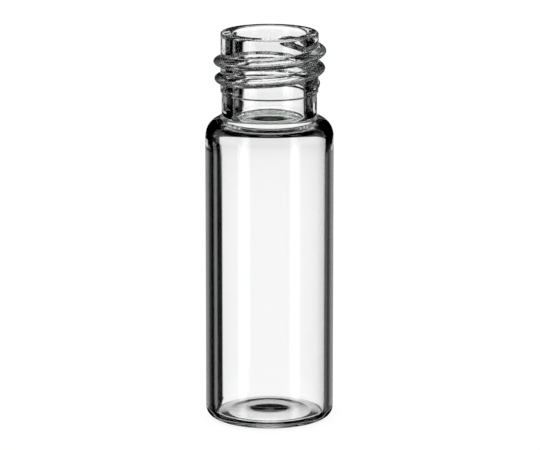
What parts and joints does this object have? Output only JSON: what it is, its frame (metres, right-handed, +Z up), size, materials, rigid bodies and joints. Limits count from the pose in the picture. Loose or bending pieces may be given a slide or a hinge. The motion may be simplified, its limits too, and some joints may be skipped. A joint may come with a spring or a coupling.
{
  "type": "glass sample vial",
  "caption": "Clear glass sample vial drawn from tube: straight round body with a pushed-up base, a short rounded shoulder, and a threaded neck with an open bore.",
  "frame": {"origin": "middle of the base, in the plane that the vial stands on", "axes": "+Z up the vial's axis to the mouth; -Y is the front, and the thread starts at +Y"},
  "size_m": [0.0148, 0.0146, 0.045],
  "materials": {
    "clear_glass": "clear and smooth, with fine ripples at the thread and shoulder"
  },
  "bodies": {
    "root": {"vial": "clear_glass"}
  },
  "joints": []
}
